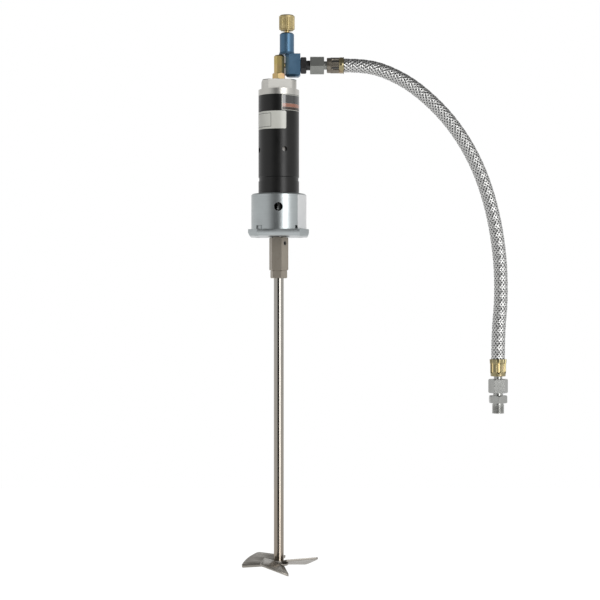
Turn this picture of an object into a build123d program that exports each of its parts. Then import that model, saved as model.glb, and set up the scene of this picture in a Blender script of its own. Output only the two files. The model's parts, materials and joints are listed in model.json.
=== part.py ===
from build123d import *
import math
import os

os.makedirs("parts", exist_ok=True)

# Tank agitator: a vane air motor with a planetary stage on a square flange, a throttle
# valve and a braided hose on its inlet, and a propeller on a long shaft below the flange.
# Millimetres. The origin is the centre of the flange's underside, +Z runs up the shaft.

# Clearances
slip = 0.02
running = 0.03
shoulder_gap = 1.0
through_cut = 1.0
edge_break = 0.8

# Flange and housing
flange_margin = 2.5
flange_corner_cut = 9.0
flange_thickness = 6.5
flange_land = 3.5
flange_taper = 1.5
flange_taper_corner = 0.6
fixing_setout = 2.906
fixing_hole_radius = 2.75
fixing_spot_radius = 5.0
fixing_spot_height = 4.0
housing_radius = 27.5
housing_height = 35.9
housing_chamfer = 1.2
port_radius = 4.3
port_height = 28.5

# Output spindle, its bearings and seal
seal_radius = 11.0
seal_width = 7.0
seal_recess = 2.0
seal_case_wall = 2.0
seal_lip_wall = 1.2
spindle_radius = 6.0
journal_radius = 7.5
bearing_seat_radius = 14.0
lower_bearing_width = 8.0
lower_bearing_bottom = 12.0
upper_bearing_width = 7.0
circlip_thickness = 1.2
circlip_depth = 0.8
circlip_reach = 1.6
circlip_gap = 6.0
chamber_radius = 17.0
chamber_shoulder = 1.5
journal_gap = 0.5
race_wall = 2.2

# Gear case and planetary stage
motor_radius = 20.3
spigot_radius = 18.0
spigot_length = 8.4
gear_case_height = 12.6
carrier_radius = 14.8
carrier_thickness = 3.4
carrier_gap = 0.6
carrier_boss = 1.5
gear_case_lip = 2.0
gear_gap = 0.8
ring_gear_radius = 17.0
gear_width = 7.2
tooth_module = 0.75
sun_teeth = 12
planet_teeth = 12
planet_count = 3
pressure_angle = math.radians(25)
addendum = 0.6
dedendum = 0.79
backlash = 0.05
planet_pin_radius = 2.0

# Motor body
rim_radius = 19.7
rim_height = 3.5
front_plate_height = 10.0
rotor_bearing_radius = 11.0
rotor_bearing_width = 7.0
rotor_shaft_radius = 4.0
sun_shaft_radius = 2.5
plate_hole_radius = 6.0
liner_height = 50.0
liner_bore_radius = 13.5
liner_offset = 1.45
liner_groove_radius = 16.4
liner_groove_height = 12.0
liner_port_radius = 2.2
liner_port_count = 3
liner_port_spread = 60.0
exhaust_height = 86.0
exhaust_radius = 2.5
exhaust_turn = -72.0
exhaust_count = 4
rotor_radius = 12.0
rotor_end_gap = 0.1
vane_thickness = 2.0
vane_height = 7.4
vane_slot_floor = 4.45
vane_count = 4
rear_plate_height = 10.0
air_port_radius = 2.2
clamp_ring_height = 2.0
clamp_ring_clearance = 0.5
clamp_ring_lip = 1.0
sleeve_chamfer = 0.5

# End cap
cap_spigot_length = 13.3
cap_radius = 20.35
cap_height = 15.3
cap_chamfer = 0.8
flat_distance = 16.75
flat_height = 9.4
flat_turn = -85.0
flat_count = 4
cap_recess_floor = 2.3
o_ring_section = 1.36
o_ring_height = 4.0
o_ring_gap = 0.4

# Brass elbow
elbow_thread_radius = 4.85
elbow_stud_length = 6.6
washer_thickness = 1.4
washer_radius = 6.5
elbow_hex = 12.0
elbow_hex_height = 6.0
elbow_hex_turn = 25.0
elbow_arm_rise = 14.2
elbow_body_width = 10.7
elbow_body_rise = 10.1
elbow_body_offset = 0.65
elbow_body_chamfer = 1.4
elbow_arm_radius = 2.6
elbow_spigot_radius = 2.3
elbow_spigot_length = 2.3
air_way_radius = 1.7

# Throttle valve
block_gap = 0.35
block_length = 15.25
block_width = 13.5
block_drop = 11.5
block_height = 22.5
block_corner_cut = 4.0
block_chamfer = 2.0
block_spot_radius = 2.7
block_spot_depth = 1.8
countersink_radius = 6.5
countersink_depth = 2.0
tower_offset = 8.1
tower_radius = 7.15
tower_gap = 0.7
tower_height = 21.5
tower_chamfer = 1.5
tower_foot_radius = 8.2
tower_foot_height = 2.6
chamber_rise = 4.0
chamber_height = 12.0
valve_chamber_radius = 4.6
riser_radius = 1.2
riser_offset = 12.0
orifice_radius = 1.1
stem_radius = 2.5
needle_lift = 1.5
needle_length = 6.5
needle_tip_radius = 0.6
stem_o_ring_height = 2.0
knob_radius = 7.8
knob_gap = 2.5
knob_height = 15.2
knob_grip_height = 11.4
knob_undercut = 1.2
knob_neck_radius = 6.4
knob_chamfer = 1.2
knob_socket_depth = 10.0
flute_count = 30
flute_radius = 0.42

# Hose line
adapter_hex = 14.5
adapter_length = 5.9
adapter_gap = 0.1
adapter_collar_radius = 6.2
adapter_stud_radius = 4.85
adapter_stud_length = 7.0
fitting_thread_radius = 6.0
fitting_neck_radius = 4.9
adapter_neck_length = 3.7
fitting_thread_length = 9.0
nut_hex = 17.0
nut_length = 13.9
inlet_nut_turn = 48.0
nipple_clearance = 0.2
nipple_radius = 4.2
nipple_bore_radius = 2.75
nipple_collar_radius = 5.1
nipple_collar_length = 1.6
nipple_gap = 2.8
ferrule_length = 17.0
ferrule_radius = 7.6
ferrule_lip_radius = 8.0
ferrule_lip_length = 2.0
ferrule_band_radius = 8.35
ferrule_band_length = 4.7
ferrule_chamfer = 0.3
hose_radius = 7.0
connector_neck_length = 2.5
connector_hex_length = 7.5
connector_groove_radius = 5.45
connector_groove_length = 1.8
connector_thread_length = 8.7

# Coupling, shaft and propeller
coupling_hex = 17.0
coupling_length = 33.0
coupling_gap = 0.7
coupling_turn = -13.0
grub_screw_radius = 2.0
grub_screw_drop = 6.0
grub_screw_recess = 0.4
spindle_engagement = 15.0
jam_nut_hex = 15.0
jam_nut_height = 7.8
shaft_radius = 5.0
shaft_engagement = 14.0
shaft_length = 307.7
shaft_stub = 0.4
propeller_radius = 39.3
blade_thickness = 2.0
blade_pitch = 19.6
blade_count = 3
blade_turn = 24.0
blade_width = 17.0
blade_camber = 0.8
blade_leading_edge = 14.3
blade_trailing_tip = 15.5
blade_trailing_root = 4.1
blade_notch = 2.2
blade_corner_radius = 3.0
hub_radius = 9.5
weld_radius = 7.0
weld_height = 4.5
weld_toe = 0.4

# Levels and sizes that follow from the ones above
flange_width = 2 * (housing_radius + flange_margin)
fixing_spacing = math.sqrt(2) * (housing_radius + fixing_setout)
housing_top = flange_thickness + housing_height
seal_top = seal_recess + seal_width
lower_bearing_top = lower_bearing_bottom + lower_bearing_width
circlip_top = lower_bearing_top + circlip_thickness
gear_case_bottom = housing_top - spigot_length
upper_bearing_bottom = gear_case_bottom + shoulder_gap
upper_bearing_top = upper_bearing_bottom + upper_bearing_width
gear_case_top = housing_top + gear_case_height
carrier_bottom = upper_bearing_top + shoulder_gap
carrier_top = carrier_bottom + carrier_thickness
gear_bottom = carrier_top + gear_gap
gear_top = gear_bottom + gear_width
rim_top = gear_case_top + rim_height
front_plate_top = gear_case_top + front_plate_height
liner_top = front_plate_top + liner_height
rear_plate_top = liner_top + rear_plate_height
cap_bottom = rear_plate_top + clamp_ring_height
sleeve_top = cap_bottom + cap_spigot_length
cap_top = sleeve_top + cap_height
elbow_bottom = cap_top + washer_thickness
elbow_hex_top = elbow_bottom + elbow_hex_height
inlet_height = elbow_bottom + elbow_arm_rise
elbow_top = inlet_height + elbow_body_rise
block_bottom = inlet_height - block_drop
block_top = block_bottom + block_height
tower_bottom = elbow_top + tower_gap
tower_top = tower_bottom + tower_height
chamber_floor = tower_bottom + chamber_rise
chamber_top = chamber_floor + chamber_height
needle_tip = chamber_floor + needle_lift
needle_shoulder = needle_tip + needle_length
knob_bottom = tower_top + knob_gap
ring_teeth = sun_teeth + 2 * planet_teeth
centre_distance = tooth_module * (sun_teeth + planet_teeth) / 2
sleeve_bore = spigot_radius + slip
block_left = elbow_body_offset + elbow_body_width / 2 + block_gap
block_right = block_left + block_length
spot_left = block_left + block_spot_depth
coupling_top = -coupling_gap
coupling_bottom = coupling_top - coupling_length
jam_nut_bottom = coupling_bottom - jam_nut_height
shaft_top = coupling_bottom + shaft_engagement
shaft_end = shaft_top - shaft_length
propeller_height = shaft_end + shaft_stub

# Places along the inlet line, measured along +X
adapter_end = block_right + adapter_gap + adapter_length
inlet_nut_start = adapter_end + adapter_neck_length
inlet_nut_end = inlet_nut_start + nut_length
inlet_ferrule_start = inlet_nut_end + nipple_gap
hose_start = inlet_ferrule_start + ferrule_length

# Route of the hose's centreline between its two ferrules, as shares of its run and its fall
outlet_x = 219.3
outlet_top = -122.5
hose_bends = [
    (0.0, 1.0),
    (0.1277, 1.0),
    (0.2755, 0.9809),
    (0.4699, 0.9261),
    (0.6935, 0.8138),
    (0.8587, 0.6742),
    (0.9605, 0.5192),
    (1.013, 0.3558),
    (1.0214, 0.206),
    (1.0, 0.0902),
    (1.0, 0.0),
]
hose_run = outlet_x - hose_start
hose_fall = inlet_height - outlet_top
hose_route = [(hose_start + x * hose_run, outlet_top + z * hose_fall) for x, z in hose_bends]
hose_bend_share = 0.45

ON_BASE = (Align.CENTER, Align.CENTER, Align.MIN)


def save(piece, label):
    """Names a finished piece and writes it."""
    piece.label = label
    export_step(piece, f"parts/{label}.step")


def disc(radius, bottom, top, mode=Mode.ADD):
    """Cylinder about the local Z axis, between two heights."""
    with Locations((0, 0, bottom)):
        Cylinder(radius, top - bottom, align=ON_BASE, mode=mode)


def hex_bar(across_flats, length, edge=0.9, turn=0.0):
    """Hexagonal bar standing on z = 0, with both ends turned to a chamfer."""
    with BuildPart() as bar:
        Cylinder(across_flats / math.sqrt(3), length, align=ON_BASE)
        chamfer(bar.edges().filter_by(GeomType.CIRCLE), edge)
        with BuildSketch():
            RegularPolygon(across_flats / 2, 6, major_radius=False, rotation=turn)
        extrude(amount=length, mode=Mode.INTERSECT)
    return bar.part


def toothed_disc(teeth, tip_height, root_depth, thinning, turn=0.0):
    """Involute gear outline: a root circle and one tooth repeated around it."""
    pitch = tooth_module * teeth / 2
    base = pitch * math.cos(pressure_angle)
    root = pitch - root_depth
    tip = pitch + tip_height
    half_tooth = math.pi / (2 * teeth) - thinning / (2 * pitch)
    involute_at_pitch = math.tan(pressure_angle) - pressure_angle

    def flank(radius):
        roll = math.sqrt(max(radius / base, 1.0) ** 2 - 1)
        side = half_tooth + involute_at_pitch - (roll - math.atan(roll))
        return (radius * math.cos(side), radius * math.sin(side))

    foot = max(root, base)
    low, middle, high = (flank(r) for r in (foot, (foot + tip) / 2, tip))
    inner = (root * 0.97 * math.cos(half_tooth), root * 0.97 * math.sin(half_tooth))
    with BuildSketch() as tooth:
        with BuildLine():
            Line(inner, low)
            ThreePointArc(low, middle, high)
            ThreePointArc(high, (tip, 0), (high[0], -high[1]))
            ThreePointArc((high[0], -high[1]), (middle[0], -middle[1]), (low[0], -low[1]))
            Line((low[0], -low[1]), (inner[0], -inner[1]))
            Line((inner[0], -inner[1]), inner)
        make_face()
    with BuildSketch() as wheel:
        Circle(root)
        with PolarLocations(0, teeth, start_angle=turn):
            add(tooth.sketch)
    return wheel.sketch


def bearing(label, bore, outside, bottom, top):
    """Inner and outer ring of a ball bearing, with the raceway space between them."""
    with BuildPart() as outer_ring:
        disc(outside - slip, bottom, top)
        disc(outside - race_wall, bottom, top, Mode.SUBTRACT)
    save(outer_ring.part, f"{label}_outer_ring")
    with BuildPart() as inner_ring:
        disc(bore + race_wall, bottom, top)
        disc(bore + slip, bottom, top, Mode.SUBTRACT)
    save(inner_ring.part, f"{label}_inner_ring")


def plate_outline(height, inset):
    """The flange's square with cut corners, drawn at a height and inset all round."""
    width = flange_width - 2 * inset
    with BuildSketch(Plane.XY.offset(height)) as outline:
        Rectangle(width, width)
        chamfer(outline.vertices(), flange_corner_cut - flange_taper_corner * inset)
    return outline.sketch


# Flange housing
with BuildPart() as flange_housing:
    extrude(plate_outline(flange_thickness - flange_land, 0.0), amount=flange_land)
    loft([plate_outline(0.0, flange_taper), plate_outline(flange_thickness - flange_land, 0.0)])
    disc(housing_radius, flange_thickness, housing_top)
    chamfer(flange_housing.faces().sort_by(Axis.Z)[-1].edges(), housing_chamfer)
    with GridLocations(fixing_spacing, fixing_spacing, 2, 2):
        disc(fixing_hole_radius, 0, flange_thickness, Mode.SUBTRACT)
        disc(fixing_spot_radius, flange_thickness, flange_thickness + fixing_spot_height, Mode.SUBTRACT)
    disc(seal_radius + slip, 0, seal_top, Mode.SUBTRACT)
    disc(journal_radius + journal_gap, 0, lower_bearing_bottom, Mode.SUBTRACT)
    disc(bearing_seat_radius, lower_bearing_bottom, housing_top, Mode.SUBTRACT)
    disc(chamber_radius, circlip_top + chamber_shoulder, housing_top, Mode.SUBTRACT)
    disc(spigot_radius + slip, gear_case_bottom, housing_top, Mode.SUBTRACT)
    disc(bearing_seat_radius + circlip_depth, lower_bearing_top, circlip_top, Mode.SUBTRACT)
    with Locations(Plane(origin=(0, 0, port_height), z_dir=(0, -1, 0))):
        Cylinder(port_radius, housing_radius + through_cut, align=ON_BASE, mode=Mode.SUBTRACT)
save(flange_housing.part, "flange_housing")

# Shaft seal
with BuildPart() as shaft_seal:
    disc(seal_radius, seal_recess, seal_top)
    disc(spindle_radius + seal_lip_wall, seal_recess, seal_top, Mode.SUBTRACT)
    disc(seal_radius - seal_case_wall, seal_top - seal_case_wall, seal_top)
    disc(spindle_radius + running, seal_recess, seal_top, Mode.SUBTRACT)
save(shaft_seal.part, "shaft_seal")

# Bearings of the output spindle
bearing("lower_bearing", spindle_radius, bearing_seat_radius, lower_bearing_bottom, lower_bearing_top)
bearing("upper_bearing", journal_radius, bearing_seat_radius, upper_bearing_bottom, upper_bearing_top)

# Circlip over the lower bearing, open at one side
with BuildPart() as bearing_circlip:
    disc(bearing_seat_radius + circlip_depth - slip, lower_bearing_top, circlip_top)
    disc(bearing_seat_radius - circlip_reach, lower_bearing_top, circlip_top, Mode.SUBTRACT)
    with Locations((0, bearing_seat_radius, lower_bearing_top)):
        Box(circlip_gap, circlip_gap, circlip_thickness, align=ON_BASE, mode=Mode.SUBTRACT)
save(bearing_circlip.part, "bearing_circlip")

# Gear case
with BuildPart() as gear_case:
    disc(spigot_radius, gear_case_bottom, housing_top)
    disc(motor_radius, housing_top, gear_case_top)
    disc(bearing_seat_radius - gear_case_lip, gear_case_bottom, upper_bearing_bottom, Mode.SUBTRACT)
    disc(bearing_seat_radius, upper_bearing_bottom, upper_bearing_top, Mode.SUBTRACT)
    disc(carrier_radius + carrier_gap, upper_bearing_top, gear_bottom, Mode.SUBTRACT)
    disc(ring_gear_radius + slip, gear_bottom, gear_case_top, Mode.SUBTRACT)
save(gear_case.part, "gear_case")

# Ring gear
ring_space = toothed_disc(ring_teeth, dedendum, addendum, -backlash, turn=180 / ring_teeth)
with BuildPart() as ring_gear:
    with BuildSketch(Plane.XY.offset(gear_bottom)):
        Circle(ring_gear_radius)
        add(ring_space, mode=Mode.SUBTRACT)
    extrude(amount=gear_width)
save(ring_gear.part, "ring_gear")

# Output spindle with the planet carrier's disc
with BuildPart() as output_spindle:
    disc(spindle_radius, coupling_top - spindle_engagement, lower_bearing_top)
    disc(journal_radius, lower_bearing_top, carrier_bottom)
    disc(carrier_radius, carrier_bottom, carrier_top)
    disc(journal_radius + carrier_boss, upper_bearing_top, carrier_bottom)
    with PolarLocations(centre_distance, planet_count):
        disc(planet_pin_radius + slip, carrier_bottom, carrier_top, Mode.SUBTRACT)
save(output_spindle.part, "output_spindle")

# Planet pins and planet gears
planet_outline = toothed_disc(planet_teeth, addendum, dedendum, backlash, turn=180 / planet_teeth)
for number in range(planet_count):
    angle = math.radians(number * 360 / planet_count)
    centre = (centre_distance * math.cos(angle), centre_distance * math.sin(angle))
    with BuildPart() as planet_pin:
        with Locations(centre):
            disc(planet_pin_radius, carrier_bottom, gear_top)
    save(planet_pin.part, f"planet_pin_{number + 1}")
    with BuildPart() as planet_gear:
        with BuildSketch(Plane.XY.offset(gear_bottom)):
            with Locations(centre):
                add(planet_outline)
                Circle(planet_pin_radius + running, mode=Mode.SUBTRACT)
        extrude(amount=gear_width)
    save(planet_gear.part, f"planet_gear_{number + 1}")

# Sun pinion
sun_outline = toothed_disc(sun_teeth, addendum, dedendum, backlash)
with BuildPart() as sun_pinion:
    with BuildSketch(Plane.XY.offset(gear_bottom)):
        add(sun_outline)
        Circle(sun_shaft_radius + slip, mode=Mode.SUBTRACT)
    extrude(amount=gear_width)
save(sun_pinion.part, "sun_pinion")

# Front end plate, whose rim shows as the ring under the motor sleeve
with BuildPart() as front_end_plate:
    disc(rim_radius, gear_case_top, rim_top)
    disc(spigot_radius, rim_top, front_plate_top)
    disc(rotor_bearing_radius, gear_case_top, gear_case_top + rotor_bearing_width, Mode.SUBTRACT)
    disc(plate_hole_radius, gear_case_top, front_plate_top, Mode.SUBTRACT)
save(front_end_plate.part, "front_end_plate")

# Rear end plate with its two air ports
with BuildPart() as rear_end_plate:
    disc(spigot_radius, liner_top, rear_plate_top)
    disc(rotor_bearing_radius, rear_plate_top - rotor_bearing_width, rear_plate_top, Mode.SUBTRACT)
    disc(plate_hole_radius, liner_top, rear_plate_top, Mode.SUBTRACT)
    with PolarLocations(liner_bore_radius, 2):
        disc(air_port_radius, liner_top, rear_plate_top, Mode.SUBTRACT)
save(rear_end_plate.part, "rear_end_plate")

# Bearings of the rotor
bearing("front_rotor_bearing", rotor_shaft_radius, rotor_bearing_radius, gear_case_top,
        gear_case_top + rotor_bearing_width)
bearing("rear_rotor_bearing", rotor_shaft_radius, rotor_bearing_radius,
        rear_plate_top - rotor_bearing_width, rear_plate_top)

# Cylinder liner: eccentric bore, waist groove and three exhaust holes on its wide side
with BuildPart() as cylinder_liner:
    disc(spigot_radius, front_plate_top, liner_top)
    with Locations((0, liner_offset)):
        disc(liner_bore_radius, front_plate_top, liner_top, Mode.SUBTRACT)
    with BuildSketch(Plane.XY.offset(exhaust_height - liner_groove_height / 2)):
        Circle(spigot_radius)
        Circle(liner_groove_radius, mode=Mode.SUBTRACT)
    extrude(amount=liner_groove_height, mode=Mode.SUBTRACT)
    with Locations((0, 0, exhaust_height)):
        with PolarLocations(0, liner_port_count, start_angle=90 - liner_port_spread / 2,
                            angular_range=liner_port_spread, endpoint=True):
            Cylinder(liner_port_radius, spigot_radius, rotation=(0, 90, 0),
                     align=ON_BASE, mode=Mode.SUBTRACT)
save(cylinder_liner.part, "cylinder_liner")

# Rotor and its vanes, which lie fully pushed in
rotor_bottom = front_plate_top + rotor_end_gap
rotor_top = liner_top - rotor_end_gap
with BuildPart() as rotor:
    disc(rotor_radius, rotor_bottom, rotor_top)
    with BuildSketch(Plane.XY.offset(rotor_bottom)):
        with PolarLocations(0, vane_count):
            with Locations((vane_slot_floor, 0)):
                Rectangle(rotor_radius, vane_thickness + 2 * slip, align=(Align.MIN, Align.CENTER))
    extrude(amount=rotor_top - rotor_bottom, mode=Mode.SUBTRACT)
    disc(rotor_shaft_radius, gear_case_top, rear_plate_top)
    disc(sun_shaft_radius, gear_bottom, gear_case_top)
save(rotor.part, "rotor")
for number in range(vane_count):
    angle = number * 360 / vane_count
    with BuildPart(Plane.XY.rotated((0, 0, angle))) as vane:
        with Locations((vane_slot_floor + slip, 0, rotor_bottom)):
            Box(vane_height, vane_thickness, rotor_top - rotor_bottom,
                align=(Align.MIN, Align.CENTER, Align.MIN))
    save(vane.part, f"vane_{number + 1}")

# Motor sleeve with its exhaust holes
with BuildPart() as motor_sleeve:
    disc(motor_radius, rim_top, sleeve_top)
    chamfer(motor_sleeve.faces().sort_by(Axis.Z)[0].edges(), sleeve_chamfer)
    disc(sleeve_bore, rim_top, sleeve_top, Mode.SUBTRACT)
    with Locations((0, 0, exhaust_height)):
        with PolarLocations(0, exhaust_count, start_angle=exhaust_turn):
            Cylinder(exhaust_radius, motor_radius + through_cut, rotation=(0, 90, 0),
                     align=ON_BASE, mode=Mode.SUBTRACT)
save(motor_sleeve.part, "motor_sleeve")

# Clamp ring between the rear end plate and the end cap
with BuildPart() as clamp_ring:
    disc(spigot_radius - clamp_ring_clearance, rear_plate_top, cap_bottom)
    disc(rotor_bearing_radius - clamp_ring_lip, rear_plate_top, cap_bottom, Mode.SUBTRACT)
save(clamp_ring.part, "clamp_ring")

# End cap with its wrench flats and the groove for its O-ring
groove_radius = spigot_radius - o_ring_section - slip
groove_bottom = cap_bottom + o_ring_height
o_ring_top = groove_bottom + o_ring_section
with BuildPart() as end_cap:
    disc(cap_radius, sleeve_top, cap_top)
    chamfer(end_cap.faces().sort_by(Axis.Z)[-1].edges(), cap_chamfer)
    with PolarLocations(0, flat_count, start_angle=flat_turn):
        with Locations((flat_distance, 0, cap_top - flat_height)):
            Box(cap_radius, 2 * cap_radius, flat_height + through_cut,
                align=(Align.MIN, Align.CENTER, Align.MIN), mode=Mode.SUBTRACT)
    disc(spigot_radius, cap_bottom, sleeve_top)
    with BuildSketch(Plane.XY.offset(groove_bottom)):
        Circle(spigot_radius)
        Circle(groove_radius, mode=Mode.SUBTRACT)
    extrude(amount=o_ring_section + o_ring_gap, mode=Mode.SUBTRACT)
    disc(rotor_bearing_radius, cap_bottom, sleeve_top - cap_recess_floor, Mode.SUBTRACT)
    disc(air_way_radius, cap_bottom, cap_top, Mode.SUBTRACT)
    disc(elbow_thread_radius + slip, elbow_bottom - elbow_stud_length - washer_thickness,
         cap_top, Mode.SUBTRACT)
save(end_cap.part, "end_cap")

with BuildPart() as cap_o_ring:
    disc(spigot_radius - slip / 2, groove_bottom, o_ring_top)
    disc(groove_radius + slip / 2, groove_bottom, o_ring_top, Mode.SUBTRACT)
save(cap_o_ring.part, "cap_o_ring")

with BuildPart() as elbow_washer:
    disc(washer_radius, cap_top, elbow_bottom)
    disc(elbow_thread_radius + slip, cap_top, elbow_bottom, Mode.SUBTRACT)
save(elbow_washer.part, "elbow_washer")

# Brass elbow: stud, hexagon, forged body and the arm that carries the throttle valve
spigot_end = spot_left + elbow_spigot_length
stud_left = block_right + adapter_gap - adapter_stud_length
elbow_hexagon = hex_bar(elbow_hex, elbow_hex_height, turn=elbow_hex_turn)
with BuildPart() as brass_elbow:
    disc(elbow_thread_radius, elbow_bottom - elbow_stud_length, elbow_bottom)
    with Locations((0, 0, elbow_bottom)):
        add(elbow_hexagon)
    with BuildSketch(Plane.XY.offset(elbow_hex_top)):
        with Locations((elbow_body_offset, 0)):
            RegularPolygon(elbow_body_width / 2, 8, major_radius=False, rotation=22.5)
    extrude(amount=elbow_top - elbow_hex_top)
    chamfer(brass_elbow.faces().sort_by(Axis.Z)[-1].edges(), elbow_body_chamfer)
    with Locations(Plane(origin=(0, 0, inlet_height), z_dir=(1, 0, 0))):
        disc(elbow_arm_radius, 0, spot_left)
        disc(elbow_spigot_radius, 0, spigot_end)
        disc(air_way_radius, 0, spigot_end, Mode.SUBTRACT)
    disc(air_way_radius, elbow_bottom - elbow_stud_length, inlet_height, Mode.SUBTRACT)
    with Locations((tower_offset, 0)):
        disc(orifice_radius, inlet_height, elbow_top, Mode.SUBTRACT)
save(brass_elbow.part, "brass_elbow")

# Throttle body: block with cut corners, and a round tower for the needle over its left end
with BuildPart() as throttle_body:
    with Locations((block_left, 0, block_bottom)):
        Box(block_length, block_width, block_height, align=(Align.MIN, Align.CENTER, Align.MIN))
    upright = throttle_body.edges().filter_by(Axis.Z)
    chamfer(upright.group_by(Axis.X)[0], block_corner_cut)
    chamfer(throttle_body.faces().sort_by(Axis.Z)[0].edges(), block_chamfer)
    with Locations((tower_offset, 0)):
        disc(tower_radius, tower_bottom, tower_top)
    chamfer(throttle_body.faces().sort_by(Axis.Z)[-1].edges(), tower_chamfer)
    with Locations((tower_offset, 0, tower_bottom)):
        Cone(tower_foot_radius, tower_radius, tower_foot_height, align=ON_BASE)
    with Locations(Plane(origin=(0, 0, inlet_height), z_dir=(1, 0, 0))):
        disc(block_spot_radius, block_left - through_cut, spot_left, Mode.SUBTRACT)
        disc(elbow_spigot_radius + slip, spot_left, spigot_end + shoulder_gap, Mode.SUBTRACT)
        disc(adapter_stud_radius + slip, stud_left, block_right, Mode.SUBTRACT)
        disc(countersink_radius, block_right - countersink_depth, block_right, Mode.SUBTRACT)
        disc(riser_radius, riser_offset, stud_left, Mode.SUBTRACT)
    with Locations((riser_offset, 0)):
        disc(riser_radius, inlet_height, chamber_floor + through_cut, Mode.SUBTRACT)
    with Locations((tower_offset, 0)):
        disc(orifice_radius, inlet_height, chamber_floor, Mode.SUBTRACT)
        disc(valve_chamber_radius, chamber_floor, chamber_top, Mode.SUBTRACT)
        disc(stem_radius + running, chamber_floor, tower_top, Mode.SUBTRACT)
save(throttle_body.part, "throttle_body")

# O-ring round the needle's stem, held up against the tower's roof
with BuildPart() as stem_o_ring:
    with Locations((tower_offset, 0)):
        disc(valve_chamber_radius - slip, chamber_top - stem_o_ring_height, chamber_top)
        disc(stem_radius + running, chamber_top - stem_o_ring_height, chamber_top, Mode.SUBTRACT)
save(stem_o_ring.part, "stem_o_ring")

# Needle spindle: cone tip over the orifice, stem up through the tower into the knob
with BuildPart() as needle_spindle:
    with Locations((tower_offset, 0)):
        disc(stem_radius, needle_shoulder, knob_bottom + knob_socket_depth)
        with Locations((0, 0, needle_tip)):
            Cone(needle_tip_radius, stem_radius, needle_length, align=ON_BASE)
save(needle_spindle.part, "needle_spindle")

# Knurled knob: neck, fluted grip, chamfered crown
with BuildPart() as throttle_knob:
    with Locations((tower_offset, 0)):
        disc(knob_neck_radius, knob_bottom, knob_bottom + knob_height)
        disc(knob_radius, knob_bottom + knob_undercut, knob_bottom + knob_height)
    chamfer(throttle_knob.faces().sort_by(Axis.Z)[-1].edges(), knob_chamfer)
    with BuildSketch(Plane.XY.offset(knob_bottom + knob_undercut)):
        with Locations((tower_offset, 0)):
            with PolarLocations(knob_radius, flute_count):
                RegularPolygon(flute_radius, 4, rotation=0)
    extrude(amount=knob_grip_height, mode=Mode.SUBTRACT)
    with Locations((tower_offset, 0)):
        disc(stem_radius + running, knob_bottom, knob_bottom + knob_socket_depth + slip, Mode.SUBTRACT)
save(throttle_knob.part, "throttle_knob")

# Inlet adapter: stud in the throttle body, collar, hexagon, neck and male thread
inlet_line = Plane(origin=(block_right + adapter_gap, 0, inlet_height), x_dir=(0, 1, 0), z_dir=(1, 0, 0))
adapter_hexagon = hex_bar(adapter_hex, adapter_length, turn=30)
adapter_neck_end = adapter_length + adapter_neck_length
adapter_tip = adapter_neck_end + fitting_thread_length
with BuildPart(inlet_line) as inlet_adapter:
    add(adapter_hexagon)
    disc(adapter_stud_radius, slip - adapter_stud_length, adapter_length)
    disc(adapter_collar_radius, slip - countersink_depth - adapter_gap, adapter_length)
    disc(fitting_neck_radius, 0, adapter_neck_end)
    disc(fitting_thread_radius, adapter_neck_end, adapter_tip)
    disc(nipple_bore_radius, -adapter_stud_length, adapter_tip, Mode.SUBTRACT)
save(inlet_adapter.part, "inlet_adapter")

# End connector below the hose: thread in the nut, neck, hexagon, groove, male thread
outlet_line = Plane(origin=(outlet_x, 0, outlet_top), x_dir=(1, 0, 0), z_dir=(0, 0, -1))
connector_start = ferrule_length + nipple_gap + nut_length - fitting_thread_length
connector_neck_top = connector_start + fitting_thread_length
connector_hex_top = connector_neck_top + connector_neck_length
connector_groove_top = connector_hex_top + connector_hex_length
connector_thread_top = connector_groove_top + connector_groove_length
connector_end = connector_thread_top + connector_thread_length
connector_hexagon = hex_bar(nut_hex, connector_hex_length, turn=30)
with BuildPart(outlet_line) as outlet_connector:
    disc(fitting_thread_radius, connector_start, connector_neck_top)
    disc(fitting_neck_radius, connector_neck_top, connector_hex_top)
    disc(connector_groove_radius, connector_hex_top, connector_thread_top)
    disc(fitting_thread_radius, connector_thread_top, connector_end)
    chamfer(outlet_connector.faces().sort_by(Axis.Z)[0].edges(), edge_break)
    with Locations((0, 0, connector_hex_top)):
        add(connector_hexagon)
    disc(nipple_bore_radius, connector_start, connector_end, Mode.SUBTRACT)
save(outlet_connector.part, "outlet_connector")


def hose_end(prefix, line, nut_turn):
    """Crimp ferrule, nipple and union nut; the line runs from the hose towards the nut."""
    ferrule_end = ferrule_length
    nut_start = ferrule_end + nipple_gap
    nut_end = nut_start + nut_length
    thread_start = nut_end - fitting_thread_length
    with BuildPart(line) as ferrule:
        disc(ferrule_radius, 0, ferrule_end)
        disc(ferrule_lip_radius, ferrule_end - ferrule_lip_length, ferrule_end)
        disc(ferrule_band_radius, 0, ferrule_band_length)
        rims = ferrule.edges().filter_by(GeomType.CIRCLE)
        chamfer([rim for rim in rims if rim.radius > ferrule_radius], ferrule_chamfer)
        disc(nipple_radius + slip, 0, ferrule_end, Mode.SUBTRACT)
    save(ferrule.part, f"{prefix}_ferrule")
    with BuildPart(line) as nipple:
        disc(nipple_radius, 0, thread_start)
        disc(nipple_collar_radius, thread_start - nipple_collar_length, thread_start)
        disc(nipple_bore_radius, 0, thread_start, Mode.SUBTRACT)
    save(nipple.part, f"{prefix}_nipple")
    nut_blank = hex_bar(nut_hex, nut_length, turn=nut_turn)
    with BuildPart(line) as nut:
        with Locations((0, 0, nut_start)):
            add(nut_blank)
        disc(nipple_radius + nipple_clearance, nut_start, nut_end, Mode.SUBTRACT)
        disc(fitting_thread_radius + slip, thread_start - nipple_collar_length, nut_end, Mode.SUBTRACT)
    save(nut.part, f"{prefix}_union_nut")


# Both ends of the hose
inlet_end_line = Plane(origin=(hose_start, 0, inlet_height), x_dir=(0, 1, 0), z_dir=(-1, 0, 0))
hose_end("inlet", inlet_end_line, inlet_nut_turn)
hose_end("outlet", outlet_line, 0.0)

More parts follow.
